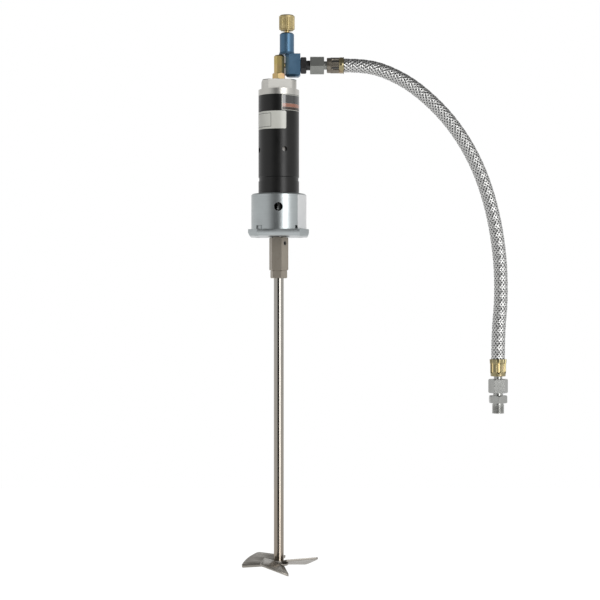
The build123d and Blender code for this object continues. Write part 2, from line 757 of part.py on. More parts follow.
# Hose: straight runs joined by tangent arcs
corner_radii = []
for before, corner, after in zip(hose_route, hose_route[1:], hose_route[2:]):
    run_in = Vector(corner[0] - before[0], corner[1] - before[1])
    run_out = Vector(after[0] - corner[0], after[1] - corner[1])
    turn = math.radians(run_in.get_angle(run_out))
    corner_radii.append(hose_bend_share * min(run_in.length, run_out.length) / math.tan(turn / 2))
print("hose corner radii", [round(radius) for radius in corner_radii])
with BuildPart() as hose:
    with BuildLine(Plane.XZ) as hose_line:
        FilletPolyline(*hose_route, radius=corner_radii)
    with BuildSketch(Plane(origin=(hose_start, 0, inlet_height), z_dir=(1, 0, 0))):
        Circle(hose_radius)
    sweep(path=hose_line.line)
hose_length = sum(edge.length for edge in hose_line.line.edges())
print("hose length", round(hose_length, 1))
swept_volume = math.pi * hose_radius**2 * hose_length
print("hose volume over section times length", round(hose.part.volume / swept_volume, 5))
save(hose.part, "hose")

# Hexagonal coupling on the spindle's lower end, with its grub screw
coupling_blank = hex_bar(coupling_hex, coupling_length, turn=coupling_turn)
spindle_end = coupling_top - spindle_engagement
grub_height = coupling_top - grub_screw_drop
grub_angle = coupling_turn - 30.0
grub_length = coupling_hex / 2 - spindle_radius - grub_screw_recess
with BuildPart() as hex_coupling:
    with Locations((0, 0, coupling_bottom)):
        add(coupling_blank)
    disc(spindle_radius + slip, spindle_end, coupling_top, Mode.SUBTRACT)
    disc(shaft_radius + slip, coupling_bottom, spindle_end, Mode.SUBTRACT)
    with Locations((0, 0, grub_height)):
        with PolarLocations(0, 1, start_angle=grub_angle):
            Cylinder(grub_screw_radius + slip, coupling_hex, rotation=(0, 90, 0),
                     align=ON_BASE, mode=Mode.SUBTRACT)
save(hex_coupling.part, "hex_coupling")

with BuildPart() as grub_screw:
    with Locations((0, 0, grub_height)):
        with PolarLocations(spindle_radius + slip, 1, start_angle=grub_angle):
            Cylinder(grub_screw_radius, grub_length, rotation=(0, 90, 0), align=ON_BASE)
save(grub_screw.part, "grub_screw")

# Jam nut
jam_nut_blank = hex_bar(jam_nut_hex, jam_nut_height, turn=coupling_turn)
with BuildPart() as jam_nut:
    with Locations((0, 0, jam_nut_bottom)):
        add(jam_nut_blank)
    disc(shaft_radius + slip, jam_nut_bottom, coupling_bottom, Mode.SUBTRACT)
save(jam_nut.part, "jam_nut")

# Agitator shaft
with BuildPart() as agitator_shaft:
    disc(shaft_radius, shaft_end, shaft_top)
    chamfer(agitator_shaft.faces().sort_by(Axis.Z)[-1].edges(), edge_break)
save(agitator_shaft.part, "agitator_shaft")


# Propeller: three stamped blades of cambered sheet, pitched about their radial lines
blade_slope = math.radians(blade_pitch)
blade_reach = propeller_radius + through_cut
blade_chord = (0, math.cos(blade_slope), -math.sin(blade_slope))
blade_plane = Plane(origin=(0, 0, propeller_height), x_dir=blade_chord, z_dir=(1, 0, 0))
with BuildPart() as propeller_blade:
    with BuildSketch(blade_plane):
        with BuildLine():
            ThreePointArc((-blade_width, 0), (0, blade_camber), (blade_width, 0))
        trace(line_width=blade_thickness)
    extrude(amount=blade_reach)
    with BuildSketch(Plane.XY.offset(propeller_height - blade_width)) as blade_plan:
        with BuildLine():
            Polyline(
                (0, -blade_trailing_root / 2),
                (blade_notch, -blade_leading_edge),
                (blade_reach, -blade_leading_edge),
                (blade_reach, blade_trailing_tip),
                (0, blade_trailing_root),
                close=True,
            )
        make_face()
        Circle(propeller_radius, mode=Mode.INTERSECT)
        fillet(blade_plan.vertices().group_by(Axis.X)[-2:], blade_corner_radius)
    extrude(amount=2 * blade_width, mode=Mode.INTERSECT)

hub_bottom = propeller_height - blade_thickness / 2
hub_top = propeller_height + blade_thickness / 2
with BuildPart() as propeller:
    disc(hub_radius, hub_bottom, hub_top)
    with PolarLocations(0, blade_count, start_angle=blade_turn):
        add(propeller_blade.part)
    disc(shaft_radius + slip, propeller_height - blade_width, propeller_height + blade_width, Mode.SUBTRACT)
save(propeller.part, "propeller")

# Weld bead between the shaft and the propeller's hub
with BuildPart() as weld_bead:
    with Locations((0, 0, hub_top)):
        Cone(weld_radius, shaft_radius + weld_toe, weld_height, align=ON_BASE)
    disc(shaft_radius + slip, hub_top, hub_top + weld_height, Mode.SUBTRACT)
    add(propeller.part, mode=Mode.SUBTRACT)
save(weld_bead.part, "weld_bead")
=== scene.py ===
import json
import math

import bpy
from mathutils import Matrix, Vector


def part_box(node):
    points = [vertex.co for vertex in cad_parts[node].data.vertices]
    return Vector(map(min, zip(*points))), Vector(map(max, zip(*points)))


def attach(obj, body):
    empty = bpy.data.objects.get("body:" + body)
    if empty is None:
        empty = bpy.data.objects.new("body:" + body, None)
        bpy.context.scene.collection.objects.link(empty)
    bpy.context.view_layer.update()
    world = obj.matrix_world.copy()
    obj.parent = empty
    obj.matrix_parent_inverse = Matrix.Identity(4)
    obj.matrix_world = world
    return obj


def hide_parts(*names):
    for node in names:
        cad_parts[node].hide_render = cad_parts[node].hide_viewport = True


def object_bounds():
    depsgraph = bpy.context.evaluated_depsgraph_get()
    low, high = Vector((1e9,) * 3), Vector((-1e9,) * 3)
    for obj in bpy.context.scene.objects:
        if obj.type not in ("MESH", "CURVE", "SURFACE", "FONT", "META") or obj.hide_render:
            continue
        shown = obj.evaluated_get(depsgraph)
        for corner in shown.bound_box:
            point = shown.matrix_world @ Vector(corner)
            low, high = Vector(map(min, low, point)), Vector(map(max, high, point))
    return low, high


# The looks of a tank agitator: an air motor on a square flange, a throttle valve with a
# braided hose, and a propeller on a long shaft. Sizes are in metres, angles in degrees.
# An angle round an upright axis is counted from -Y, the camera's side, towards +X.

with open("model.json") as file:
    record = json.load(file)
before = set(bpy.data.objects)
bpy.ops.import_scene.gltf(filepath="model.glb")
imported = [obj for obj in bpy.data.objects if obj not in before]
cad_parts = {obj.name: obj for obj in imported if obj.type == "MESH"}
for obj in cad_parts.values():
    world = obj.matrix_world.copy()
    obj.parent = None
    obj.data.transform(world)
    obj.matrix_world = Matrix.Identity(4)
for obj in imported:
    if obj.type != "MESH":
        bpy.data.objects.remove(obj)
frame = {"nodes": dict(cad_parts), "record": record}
nodes = frame["nodes"]
cad_low, cad_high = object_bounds()
MM = 0.001


# ---------------------------------------------------------------- camera and hose

def link(name, data):
    """A new object in the scene."""
    obj = bpy.data.objects.new(name, data)
    bpy.context.scene.collection.objects.link(obj)
    return obj


camera_place = (0.0212, -1.45, -0.0633)
camera_data = bpy.data.cameras.new("camera")
camera_data.lens = 87
camera_data.sensor_width = 36
camera_data.clip_end = 20
camera = link("camera", camera_data)
camera.location = camera_place
camera.rotation_euler = (math.radians(90), 0, 0)
bpy.context.scene.camera = camera

inlet_low, inlet_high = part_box("inlet_ferrule")
outlet_low, outlet_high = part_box("outlet_ferrule")
inlet_height = (inlet_low.z + inlet_high.z) / 2
hose_start = inlet_high.x
outlet_x = (outlet_low.x + outlet_high.x) / 2
outlet_top = outlet_high.z

# The control points of the hose's centreline, as (x, z)
hose_route = [
    (hose_start, inlet_height),
    (0.0847, inlet_height),
    (0.1075, 0.1656),
    (0.1375, 0.1495),
    (0.1720, 0.1165),
    (0.1975, 0.0755),
    (0.2132, 0.0300),
    (0.2213, -0.0180),
    (0.2226, -0.0620),
    (outlet_x, -0.0960),
    (outlet_x, outlet_top),
]


def route_curve(name, thickness):
    """The hose's centreline as a smooth spline, with a round section if it has a thickness."""
    curve = bpy.data.curves.new(name, "CURVE")
    curve.dimensions = "3D"
    spline = curve.splines.new("NURBS")
    spline.points.add(len(hose_route) - 1)
    for point, (x, z) in zip(spline.points, hose_route):
        point.co = (x, 0, z, 1)
    spline.order_u = 3
    spline.use_endpoint_u = True
    spline.resolution_u = 24
    curve.bevel_depth = thickness
    curve.bevel_resolution = 6
    return link(name, curve)


core_radius = 0.0061
air_hose = route_curve("air_hose", core_radius)


# ---------------------------------------------------------------- node helpers

class Shader:
    """A node tree of a material or world, with short calls for the nodes that the looks use."""

    def __init__(self, owner):
        """owner is the name of a new material, or a material or world that is already made."""
        self.material = bpy.data.materials.new(owner) if isinstance(owner, str) else owner
        self.material.use_nodes = True
        self.tree = self.material.node_tree
        self.surface = self.tree.nodes.get("Principled BSDF")

    def node(self, kind, inputs=None, **settings):
        made = self.tree.nodes.new(kind)
        for key, value in settings.items():
            setattr(made, key, value)
        for key, value in (inputs or {}).items():
            self.put(made.inputs[key], value)
        return made

    def put(self, socket, value):
        if isinstance(value, bpy.types.NodeSocket):
            self.tree.links.new(value, socket)
        else:
            socket.default_value = value

    def set(self, **values):
        for key, value in values.items():
            self.put(self.surface.inputs[key.replace("_", " ")], value)

    def place(self, stretch=(1, 1, 1)):
        """The object's own coordinates, in metres, stretched for grain that has a direction."""
        coordinates = self.node("ShaderNodeTexCoord").outputs["Object"]
        return self.node("ShaderNodeMapping", {"Vector": coordinates, "Scale": stretch}).outputs[0]

    def noise(self, scale, detail, stretch=(1, 1, 1)):
        texture = self.node("ShaderNodeTexNoise", {
            "Vector": self.place(stretch), "Scale": scale, "Detail": detail, "Roughness": 0.55})
        return texture.outputs["Fac"]

    def ramp(self, fac, *stops):
        """A colour ramp with stops of (position, colour or grey)."""
        ramp = self.node("ShaderNodeValToRGB", {"Fac": fac})
        while len(ramp.color_ramp.elements) < len(stops):
            ramp.color_ramp.elements.new(0.5)
        for element, (position, tone) in zip(ramp.color_ramp.elements, stops):
            element.position = position
            element.color = colour(*tone) if isinstance(tone, tuple) else grey(tone)
        return ramp.outputs["Color"]

    def calc(self, operation, *values):
        """The result of a Math node on one or two values."""
        return self.node("ShaderNodeMath", dict(enumerate(values)), operation=operation).outputs[0]

    def component(self, vector, axis):
        """A vector's X, Y or Z."""
        return self.node("ShaderNodeSeparateXYZ", {"Vector": vector}).outputs[axis]

    def along(self, vector, axis):
        """How far a vector reaches along an axis, to either side."""
        reach = self.node("ShaderNodeVectorMath", {0: vector, 1: axis}, operation="DOT_PRODUCT")
        return self.calc("ABSOLUTE", reach.outputs["Value"])

    def seen_directly(self):
        """1 for rays of the camera, of gloss and of transmission, and 0 for all others."""
        rays = self.node("ShaderNodeLightPath").outputs
        seen = self.calc("MAXIMUM", rays["Is Camera Ray"], rays["Is Glossy Ray"])
        return self.calc("MAXIMUM", seen, rays["Is Transmission Ray"])

    def spread(self, fac, low, high):
        """A texture's middle range stretched to run from low to high."""
        return self.node("ShaderNodeMapRange", {
            "Value": fac, "From Min": 0.3, "From Max": 0.7, "To Min": low, "To Max": high}).outputs[0]

    def mix(self, fac, first, second):
        made = self.node("ShaderNodeMix", data_type="RGBA")
        self.put(made.inputs[0], fac)
        self.put(made.inputs[6], first)
        self.put(made.inputs[7], second)
        return made.outputs[2]

    def bump(self, height, distance):
        return self.node("ShaderNodeBump", {"Height": height, "Distance": distance}).outputs[0]


def grey(level):
    return (level, level, level, 1)


def colour(red, green, blue):
    return (red, green, blue, 1)


# ---------------------------------------------------------------- materials

along_rings = (1, 1, 30)
along_shaft = (1, 1, 0.15)
grain_shade = 0.62
smoother, rougher = 0.04, 0.06


def shaded(tone, share):
    """A colour made darker by a share."""
    return colour(*(share * part for part in tone[:3]))


def metal(name, base, worn, roughness, grain=(1, 1, 1), grain_scale=900.0, grain_depth=0.02, spots=0.0):
    """A metal with slow colour variation, directional tool marks and cloudy gloss."""
    shader = Shader(name)
    cloud = shader.noise(55.0, 4.0)
    fine = shader.noise(grain_scale, 3.0, grain)
    tone = shader.mix(shader.spread(cloud, 0.0, 1.0), base, worn)
    tone = shader.mix(shader.spread(fine, 0.0, 0.22), tone, shaded(base, grain_shade))
    if spots:
        pits = shader.ramp(shader.noise(650.0, 2.0), (0.0, 1.0), (0.3, 1.0), (0.36, 0.0))
        tone = shader.mix(pits, tone, shaded(base, 1 - spots))
    shader.set(Base_Color=tone, Metallic=1.0,
               Roughness=shader.spread(cloud, roughness - smoother, roughness + rougher),
               Normal=shader.bump(fine, grain_depth * MM))
    return shader.material


def dull(name, base, worn, roughness, bump_depth=0.03, specular=0.5):
    """A painted, moulded or rubber surface with a fine skin."""
    shader = Shader(name)
    cloud = shader.noise(40.0, 4.0)
    skin = shader.noise(1400.0, 2.0)
    shader.set(Base_Color=shader.mix(shader.spread(cloud, 0.0, 1.0), base, worn),
               Roughness=shader.spread(cloud, roughness - 0.05, roughness + 0.05),
               Specular_IOR_Level=specular, Normal=shader.bump(skin, bump_depth * MM))
    return shader.material


tint_reach = 0.24


def shaft_steel():
    """Polished shaft, with a brown heat tint that fades upwards from the weld."""
    shader = Shader("shaft_steel")
    height = shader.component(shader.place(), "Z")
    cloud = shader.noise(60.0, 4.0, (1, 1, 0.3))
    turning = shader.noise(120.0, 3.0, (1, 1, 40))
    shaft_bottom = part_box("agitator_shaft")[0].z
    from_weld = shader.node("ShaderNodeMapRange", {
        "Value": height, "From Min": shaft_bottom, "From Max": shaft_bottom + tint_reach}).outputs[0]
    tint = shader.ramp(from_weld, (0.0, (0.25, 0.205, 0.16)), (0.35, (0.30, 0.27, 0.23)),
                       (1.0, (0.33, 0.315, 0.29)))
    tone = shader.mix(shader.spread(cloud, 0.0, 0.35), tint, colour(0.28, 0.27, 0.25))
    shader.set(Base_Color=tone, Metallic=1.0, Roughness=shader.spread(cloud, 0.10, 0.18),
               Normal=shader.bump(turning, 0.004 * MM))
    return shader.material


def motor_black():
    """Satin black anodised sleeve, drawn lengthways, with faint dust."""
    shader = Shader("black_case")
    drawn = shader.noise(700.0, 3.0, (1, 1, 0.02))
    dust = shader.noise(90.0, 5.0)
    tone = shader.mix(shader.spread(dust, 0.0, 0.5), grey(0.0035), colour(0.0075, 0.0072, 0.0065))
    shader.set(Base_Color=tone, Metallic=0.0, Roughness=shader.spread(dust, 0.30, 0.38),
               Specular_IOR_Level=0.32, Normal=shader.bump(drawn, 0.006 * MM))
    return shader.material


def anodised_blue():
    """Blue anodised aluminium in two close shades."""
    shader = Shader("blue_aluminium")
    cloud = shader.noise(120.0, 4.0)
    fine = shader.noise(1500.0, 2.0)
    tone = shader.mix(shader.spread(cloud, 0.0, 1.0),
                      colour(0.064, 0.137, 0.222), colour(0.084, 0.160, 0.246))
    shader.set(Base_Color=tone, Metallic=0.8, Roughness=shader.spread(cloud, 0.38, 0.46),
               Normal=shader.bump(fine, 0.01 * MM))
    return shader.material


def tarnished_brass(name, first, middle, last, roughness):
    """Brass whose tarnish runs in clouds through three tones."""
    shader = Shader(name)
    cloud = shader.noise(90.0, 5.0)
    fine = shader.noise(400.0, 2.0)
    tone = shader.ramp(shader.spread(cloud, 0.0, 1.0), (0.0, first), (0.55, middle), (1.0, last))
    shader.set(Base_Color=tone, Metallic=1.0,
               Roughness=shader.spread(cloud, roughness - 0.05, roughness + 0.07),
               Normal=shader.bump(fine, 0.001 * MM))
    return shader.material


def braid_steel():
    """Braided wire: each band is a row of fine wires, with painted shade along its edges, where the bands
    meet and tuck under each other.
    """
    shader = Shader("braided_hose")
    across = shader.node("ShaderNodeUVMap", uv_map="band").outputs[0]
    height = shader.component(across, "Y")
    wires = shader.node("ShaderNodeTexWave", {
        "Vector": across, "Scale": 2.2, "Distortion": 0.4}, bands_direction="Y").outputs["Fac"]
    # Painted shade: the band's colour falls to near black at its two edges, standing in for the shade in
    # the gaps between bands
    tone = shader.ramp(height, (0.0, 0.07), (0.22, 0.34), (0.5, (0.66, 0.66, 0.64)),
                       (0.78, 0.34), (1.0, 0.07))
    shader.set(Base_Color=tone, Metallic=1.0, Roughness=0.2, Normal=shader.bump(wires, 0.03 * MM))
    return shader.material


flat_turn = -85.0
flat_reach = 17.4 * MM
flat_roughness = 0.56


def cap_aluminium():
    """Turned end cap, whose wrench flats are milled to a duller surface."""
    shader = Shader(metal("cap_finish", colour(0.53, 0.52, 0.49), colour(0.48, 0.47, 0.44), 0.33,
                          along_rings, 60.0, 0.004))
    normal = shader.node("ShaderNodeNewGeometry").outputs["Normal"]
    place = shader.place()
    masks = []
    for turn in (flat_turn, flat_turn + 90):
        axis = (math.cos(math.radians(turn)), math.sin(math.radians(turn)), 0)
        facing = shader.calc("GREATER_THAN", shader.along(normal, axis), 0.995)
        inside = shader.calc("LESS_THAN", shader.along(place, axis), flat_reach)
        masks.append(shader.calc("MULTIPLY", facing, inside))
    turned = shader.spread(shader.noise(55.0, 4.0), 0.29, 0.39)
    roughness = shader.node("ShaderNodeMapRange", {
        "Value": shader.calc("MAXIMUM", *masks), "To Min": turned, "To Max": flat_roughness})
    shader.set(Roughness=roughness.outputs[0])
    return shader.material


PALETTE = {
    "polished_steel": metal("polished_steel", colour(0.385, 0.415, 0.42), colour(0.355, 0.38, 0.385), 0.31,
                            along_rings, 60.0, 0.003),
    "stainless": metal("stainless", colour(0.36, 0.35, 0.33), colour(0.30, 0.28, 0.26), 0.34,
                       along_shaft, 500.0, 0.015, spots=0.3),
    "plated_steel": metal("plated_steel", colour(0.27, 0.275, 0.26), colour(0.235, 0.24, 0.225), 0.32,
                          grain_depth=0.004),
    "gear_steel": metal("gear_steel", grey(0.36), colour(0.30, 0.29, 0.27), 0.30),
    "spring_steel": metal("spring_steel", grey(0.10), grey(0.16), 0.35),
    "cast_liner": metal("cast_liner", grey(0.20), colour(0.16, 0.15, 0.14), 0.45, grain_depth=0.04),
    "black_case": motor_black(),
    "matt_aluminium": metal("matt_aluminium", colour(0.53, 0.52, 0.49), colour(0.48, 0.47, 0.44), 0.33,
                            along_rings, 60.0, 0.004),
    "brass": tarnished_brass("brass", (0.53, 0.31, 0.19), (0.49, 0.37, 0.17), (0.45, 0.36, 0.13), 0.33),
    "blue_aluminium": anodised_blue(),
    "black_fitting": metal("black_fitting", grey(0.045), colour(0.055, 0.052, 0.058), 0.36),
    "rubber": dull("rubber", grey(0.012), grey(0.02), 0.6),
    "white_plastic": dull("white_plastic", colour(0.80, 0.79, 0.76), colour(0.74, 0.73, 0.70), 0.4),
    "vane_plastic": dull("vane_plastic", colour(0.30, 0.20, 0.10), colour(0.26, 0.17, 0.09), 0.5),
    "braided_hose": braid_steel(),
}
outlet_steel = metal("outlet_steel", colour(0.36, 0.365, 0.35), colour(0.32, 0.32, 0.305), 0.30,
                     grain_depth=0.003)
coupling_finish = metal("coupling_finish", colour(0.35, 0.315, 0.265), colour(0.29, 0.26, 0.22), 0.44,
                        (1, 1, 0.1), 500.0, 0.02, spots=0.3)
propeller_finish = metal("propeller_finish", colour(0.34, 0.32, 0.285), colour(0.28, 0.26, 0.235), 0.40,
                         grain_scale=420.0, grain_depth=0.01, spots=0.2)
ferrule_brass = tarnished_brass(
    "ferrule_brass", (0.23, 0.20, 0.105), (0.30, 0.26, 0.15), (0.30, 0.22, 0.14), 0.24)
bright_brass = tarnished_brass(
    "bright_brass", (0.62, 0.46, 0.18), (0.75, 0.60, 0.30), (0.72, 0.52, 0.26), 0.22)
knob_brass = tarnished_brass(
    "knob_brass", (0.42, 0.34, 0.155), (0.47, 0.39, 0.21), (0.49, 0.38, 0.20), 0.52)
# Painted shade and painted reflection: the inlet ferrule is brass like the outlet one, but its shell is
# coloured a dull grey for the shade and dark reflection on it
ferrule_brass_painted_shade = metal("ferrule_brass_painted_shade", colour(0.235, 0.22, 0.18), colour(0.18, 0.155, 0.13), 0.30,
                      grain_depth=0.003)
label_silver = dull("label_silver", colour(0.60, 0.60, 0.54), colour(0.66, 0.66, 0.61), 0.30, 0.005)
label_white = dull("label_white", colour(0.80, 0.81, 0.81), colour(0.74, 0.75, 0.76), 0.32, 0.004)
label_line = dull("label_line", colour(0.07, 0.07, 0.06), colour(0.10, 0.10, 0.09), 0.4, 0.003)
gloss_black = dull("gloss_black", grey(0.012), grey(0.02), 0.14, 0.002, specular=1.0)
gloss_orange = dull("gloss_orange", colour(0.36, 0.115, 0.06), colour(0.30, 0.10, 0.05), 0.16, 0.002,
                    specular=1.0)
gloss_umber = dull("gloss_umber", colour(0.045, 0.022, 0.014), colour(0.035, 0.018, 0.012), 0.2, 0.002)
hose_core = dull("hose_core", grey(0.008), grey(0.014), 0.6, 0.02, specular=0.2)

finish_of = {part["node"]: PALETTE[part["material_slot"]] for part in frame["record"]["subparts"]}
finish_of["end_cap"] = cap_aluminium()
finish_of["outlet_union_nut"] = outlet_steel
finish_of["outlet_nipple"] = outlet_steel
finish_of["agitator_shaft"] = shaft_steel()
finish_of["hex_coupling"] = coupling_finish
finish_of["jam_nut"] = coupling_finish
finish_of["propeller"] = propeller_finish
finish_of["throttle_knob"] = knob_brass

# Widths in millimetres of the rounded edges on the parts that are seen
edge_width = {
    "flange_housing": 0.35, "end_cap": 0.35, "throttle_body": 0.35, "inlet_adapter": 0.2,
    "brass_elbow": 0.35, "hex_coupling": 0.3, "jam_nut": 0.3, "inlet_union_nut": 0.3,
    "outlet_union_nut": 0.3, "propeller": 0.45,
    "elbow_washer": 0.2, "agitator_shaft": 0.2,
}


join_distance = 0.002 * MM
flat_within = math.radians(0.4)
bevel_beyond = math.radians(32)
sharp_angle = 28


def soften(obj, width, flat_faces):
    """Rounds an object's sharp edges in its modifiers, which leaves its own mesh as it is."""
    weld = obj.modifiers.new("weld", "WELD")
    weld.merge_threshold = join_distance
    flatten = obj.modifiers.new("flatten", "DECIMATE")
    flatten.decimate_type = "DISSOLVE"
    flatten.angle_limit = flat_within
    bevel = obj.modifiers.new("bevel", "BEVEL")
    bevel.width = width * MM
    bevel.segments = 2
    bevel.limit_method = "ANGLE"
    bevel.angle_limit = bevel_beyond
    if flat_faces:
        level = obj.modifiers.new("level", "WEIGHTED_NORMAL")
        level.mode = "FACE_AREA"
        level.weight = 90
    else:
        bevel.harden_normals = True


for name, obj in nodes.items():
    obj.data.materials.clear()
    obj.data.materials.append(finish_of[name])
    obj.data.shade_smooth()
    obj.data.set_sharp_from_angle(angle=math.radians(sharp_angle))
    if name in edge_width:
        soften(obj, edge_width[name], flat_faces=name != "propeller")


# ---------------------------------------------------------------- mesh helpers

def mesh_piece(name, vertices, faces, material, body, smooth):
    """A piece from its points in metres, riding on a CAD body."""
    data = bpy.data.meshes.new(name)
    data.from_pydata(vertices, [], faces)
    data.materials.append(material)
    data.shade_smooth()
    data.set_sharp_from_angle(angle=math.radians(smooth))
    obj = link(name, data)
    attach(obj, body)
    return obj


def wrap(rows, closed=True, capped=False):
    """Quads between rows of points of equal length, each row a ring if closed."""
    count = len(rows[0])
    vertices = [point for row in rows for point in row]
    faces = []
    for level in range(len(rows) - 1):
        for step in range(count if closed else count - 1):
            following = (step + 1) % count
            faces.append((level * count + step, level * count + following,
                          (level + 1) * count + following, (level + 1) * count + step))
    if capped:
        faces.append(tuple(range(count))[::-1])
        faces.append(tuple((len(rows) - 1) * count + step for step in range(count)))
    return vertices, faces


def axis_frame(origin, axis):
    """A matrix whose Z runs along axis from origin, with X towards the camera's side."""
    along = Vector(axis).normalized()
    side = Vector((0, -1, 0))
    other = along.cross(side)
    return Matrix((
        (side.x, other.x, along.x, origin[0]),
        (side.y, other.y, along.y, origin[1]),
        (side.z, other.z, along.z, origin[2]),
        (0, 0, 0, 1),
    ))


def add_part(vertices, faces, points, quads):
    """Adds a part's points and quads to a piece's own."""
    faces.extend(tuple(corner + len(vertices) for corner in quad) for quad in quads)
    vertices.extend(points)


def revolved(name, place, rows, count, material, body, smooth):
    """A piece of rings round an axis. Each row gives (radius, height) at an angle in radians."""
    rings = []
    for row in rows:
        ring = []
        for step in range(count):
            angle = 2 * math.pi * step / count
            radius, height = row(angle)
            ring.append(place @ Vector((radius * math.cos(angle), radius * math.sin(angle), height)))
        rings.append(ring)
    vertices, faces = wrap(rings)
    return mesh_piece(name, vertices, faces, material, body, smooth)


def ring_at(radius, height):
    """A plain round row."""
    return lambda angle: (radius, height)


def hex_row(across_flats, height, shrink=0.0):
    """A hexagonal row, with its corners cut back by shrink."""
    def row(angle):
        local = (angle + math.pi / 6) % (math.pi / 3) - math.pi / 6
        flat = across_flats / 2 / math.cos(math.pi / 6 - abs(local))
        return min(flat, across_flats / math.sqrt(3) - shrink), height
    return row


rows_per_turn = 10
crest_top = 1.5
crest_slope = 3.2


def thread_rows(radius, depth, pitch, start, length):
    """Rows of a helical thread that fades out at both ends."""
    rows = []
    steps = round(length / pitch * rows_per_turn)
    for step in range(steps + 1):
        height = start + length * step / steps

        def row(angle, height=height):
            phase = (height / pitch - angle / (2 * math.pi)) % 1
            crest = min(1.0, max(0.0, crest_top - crest_slope * abs(phase - 0.5)))
            fade = min(1.0, (height - start) / pitch, (start + length - height) / pitch)
            return radius - depth * (1 - crest) * max(fade, 0.0), height

        rows.append(row)
    return rows


# ---------------------------------------------------------------- labels

plate_thickness = 0.12 * MM
print_thickness = 0.03 * MM
band_thickness = 0.04 * MM
line_thickness = 0.02 * MM


def label(name, radius, turns, levels, corner, material, body, lift,
          thickness=plate_thickness, columns=26):
    """A bare plate with rounded corners bent round an upright cylinder, between two angles."""
    start, end = (math.radians(turn) for turn in turns)
    low, high = levels
    arc = corner / radius
    ends = [arc * (1 - math.cos(math.pi / 2 * step / 5)) for step in range(6)]
    middle = [arc + (end - start - 2 * arc) * step / columns for step in range(1, columns)]
    places = ends + middle + [end - start - offset for offset in reversed(ends)]
    rows_out, rows_in = [], []
    for place in places:
        near = min(place, end - start - place)
        inset = corner - corner * math.sin(math.acos(max(0.0, 1 - near / arc))) if near < arc else 0.0
        angle = start + place
        outward = Vector((math.sin(angle), -math.cos(angle), 0))
        heights = [low + inset + (high - low - 2 * inset) * share for share in (0.0, 0.5, 1.0)]
        for rows, reach in ((rows_out, radius + lift + thickness), (rows_in, radius + lift)):
            rows.append([outward * reach + Vector((0, 0, height)) for height in heights])
    rings = [[*outer, *reversed(inner)] for outer, inner in zip(rows_out, rows_in)]
    vertices, faces = wrap(rings, capped=True)
    return mesh_piece(name, vertices, faces, material, body, smooth=40)


def outline_strip(name, radius, turns, levels, width, material, body, lift):
    """A thin printed frame round a label: four strips bent round the cylinder."""
    start, end = turns
    low, high = levels
    across = math.degrees(width / radius)
    sides = {
        "foot": (turns, (low, low + width)),
        "head": (turns, (high - width, high)),
        "left": ((start, start + across), (low + width, high - width)),
        "right": ((end - across, end), (low + width, high - width)),
    }
    for side, (side_turns, side_levels) in sides.items():
        label(f"{name}_{side}", radius, side_turns, side_levels, 0.05 * MM, material, body,
              lift, line_thickness, columns=18)


sleeve_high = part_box("motor_sleeve")[1]
sleeve_radius = sleeve_high.x
housing_low, housing_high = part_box("flange_housing")
housing_radius = 27.5 * MM
label_lift = 0.01 * MM
print_lift = label_lift + plate_thickness

# The motor's upper label is a silver plate with three printed fields
top_low, top_high = sleeve_high.z - 16.0 * MM, sleeve_high.z - 0.5 * MM
label("top_label_back", sleeve_radius, (9, 131), (top_low, top_high), 1.0 * MM, label_silver,
      "motor", label_lift)
label("top_label_field", sleeve_radius, (11, 129), (top_low + 6.7 * MM, top_high - 0.5 * MM), 0.6 * MM,
      gloss_black, "motor", print_lift, print_thickness)
label("top_label_band", sleeve_radius, (11, 129), (top_low + 3.2 * MM, top_low + 6.6 * MM), 0.2 * MM,
      gloss_orange, "motor", print_lift, band_thickness)
label("top_label_foot", sleeve_radius, (11, 129), (top_low + 0.4 * MM, top_low + 3.1 * MM), 0.2 * MM,
      gloss_umber, "motor", print_lift, print_thickness)

label("rating_label", sleeve_radius, (-102, 22), (106.0 * MM, 123.6 * MM), 1.5 * MM, label_silver,
      "motor", label_lift)
outline_strip("rating_label_frame", sleeve_radius, (-92, -21), (108.0 * MM, 121.6 * MM), 0.45 * MM,
              label_line, "motor", print_lift)

label("flange_label", housing_radius, (43, 118), (housing_low.z + 7.6 * MM, housing_high.z - 1.5 * MM),
      1.0 * MM, label_white, "motor", label_lift)


# ---------------------------------------------------------------- hose end fittings

ferrule_radius = 7.6 * MM
ferrule_slots = 6
ferrule_columns = 288
slot_press = 0.85 * MM
slot_wall = 0.35 * MM
lip_height = 0.30 * MM
mouth_flare = 0.55 * MM
mouth_wall = 1.2 * MM
rim_depth = 0.6 * MM
end_round = 2.2 * MM
end_drop = 0.35 * MM
end_bore = 4.25 * MM
window_start = 1.0 * MM
window_cut = 1.6 * MM
window_round = 2.4 * MM
window_half = 1.1 * MM
window_sink = 0.80 * MM
window_crown = 0.35 * MM


def quarter_round(share):
    """A quarter circle's height: 0 at share 0, rising steeply, and 1 at share 1."""
    return math.sqrt(max(0.0, 1 - (1 - share) ** 2))


